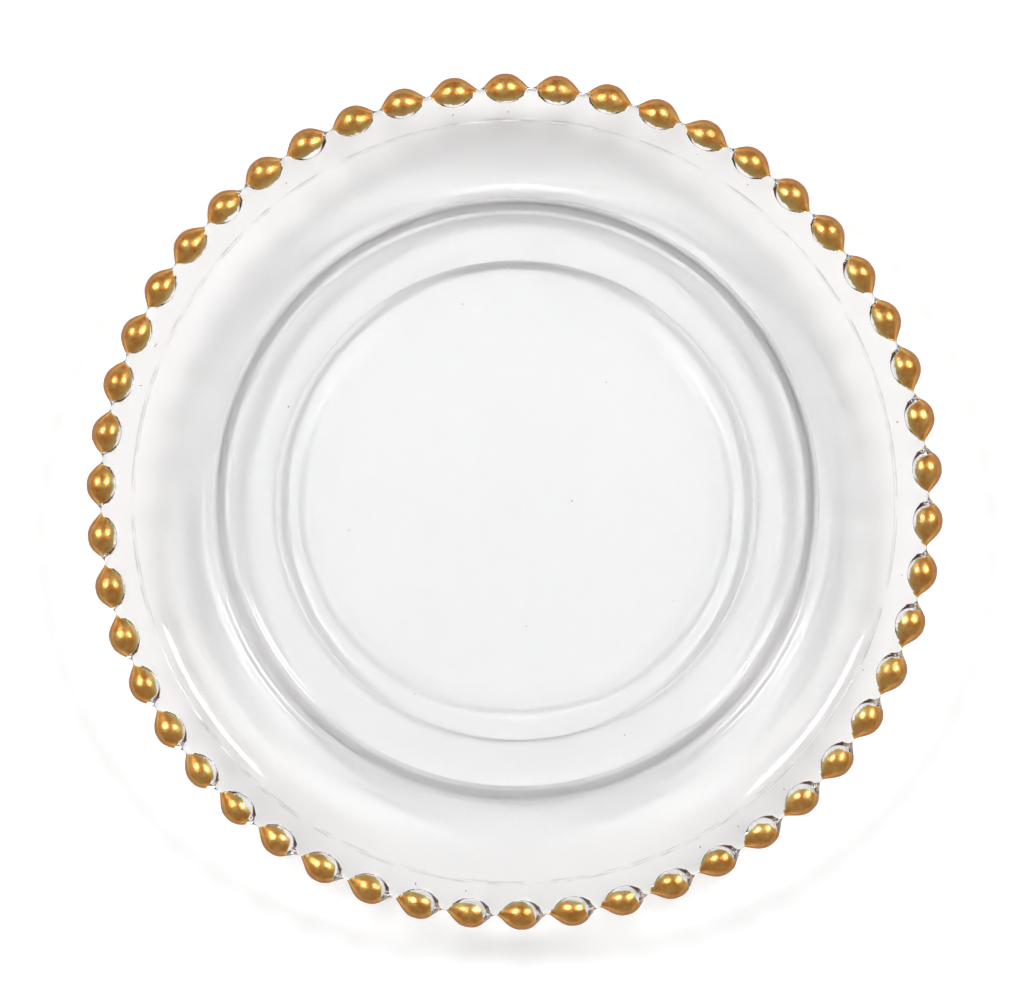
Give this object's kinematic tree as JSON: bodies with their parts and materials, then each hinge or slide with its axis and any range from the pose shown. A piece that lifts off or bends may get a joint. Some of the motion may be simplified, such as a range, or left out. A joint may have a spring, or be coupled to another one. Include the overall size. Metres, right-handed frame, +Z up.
{
  "type": "bread plate",
  "caption": "Round clear-glass side plate with a raised well, sloped flange and a rim of glass beads, each bead gilded by hand.",
  "frame": {"origin": "on the table, under the centre of the plate", "axes": "+Z up out of the well; +X and +Y lie level in the table's plane, the first bead stands just past +X towards +Y"},
  "size_m": [0.1598, 0.16, 0.0185],
  "materials": {
    "clear_glass": "clear pressed glass, fire polished",
    "gold_leaf": "bright hand-brushed gold"
  },
  "bodies": {
    "root": {"glass_plate": "clear_glass", "gold_coat_01": "gold_leaf", "gold_coat_02": "gold_leaf", "gold_coat_03": "gold_leaf", "gold_coat_04": "gold_leaf", "gold_coat_05": "gold_leaf", "gold_coat_06": "gold_leaf", "gold_coat_07": "gold_leaf", "gold_coat_08": "gold_leaf", "gold_coat_09": "gold_leaf", "gold_coat_10": "gold_leaf", "gold_coat_11": "gold_leaf", "gold_coat_12": "gold_leaf", "gold_coat_13": "gold_leaf", "gold_coat_14": "gold_leaf", "gold_coat_15": "gold_leaf", "gold_coat_16": "gold_leaf", "gold_coat_17": "gold_leaf", "gold_coat_18": "gold_leaf", "gold_coat_19": "gold_leaf", "gold_coat_20": "gold_leaf", "gold_coat_21": "gold_leaf", "gold_coat_22": "gold_leaf", "gold_coat_23": "gold_leaf", "gold_coat_24": "gold_leaf", "gold_coat_25": "gold_leaf", "gold_coat_26": "gold_leaf", "gold_coat_27": "gold_leaf", "gold_coat_28": "gold_leaf", "gold_coat_29": "gold_leaf", "gold_coat_30": "gold_leaf", "gold_coat_31": "gold_leaf", "gold_coat_32": "gold_leaf", "gold_coat_33": "gold_leaf", "gold_coat_34": "gold_leaf", "gold_coat_35": "gold_leaf", "gold_coat_36": "gold_leaf", "gold_coat_37": "gold_leaf", "gold_coat_38": "gold_leaf", "gold_coat_39": "gold_leaf", "gold_coat_40": "gold_leaf", "gold_coat_41": "gold_leaf", "gold_coat_42": "gold_leaf", "gold_coat_43": "gold_leaf", "gold_coat_44": "gold_leaf", "gold_coat_45": "gold_leaf", "gold_coat_46": "gold_leaf", "gold_coat_47": "gold_leaf", "gold_coat_48": "gold_leaf", "gold_coat_49": "gold_leaf", "gold_coat_50": "gold_leaf"}
  },
  "joints": []
}
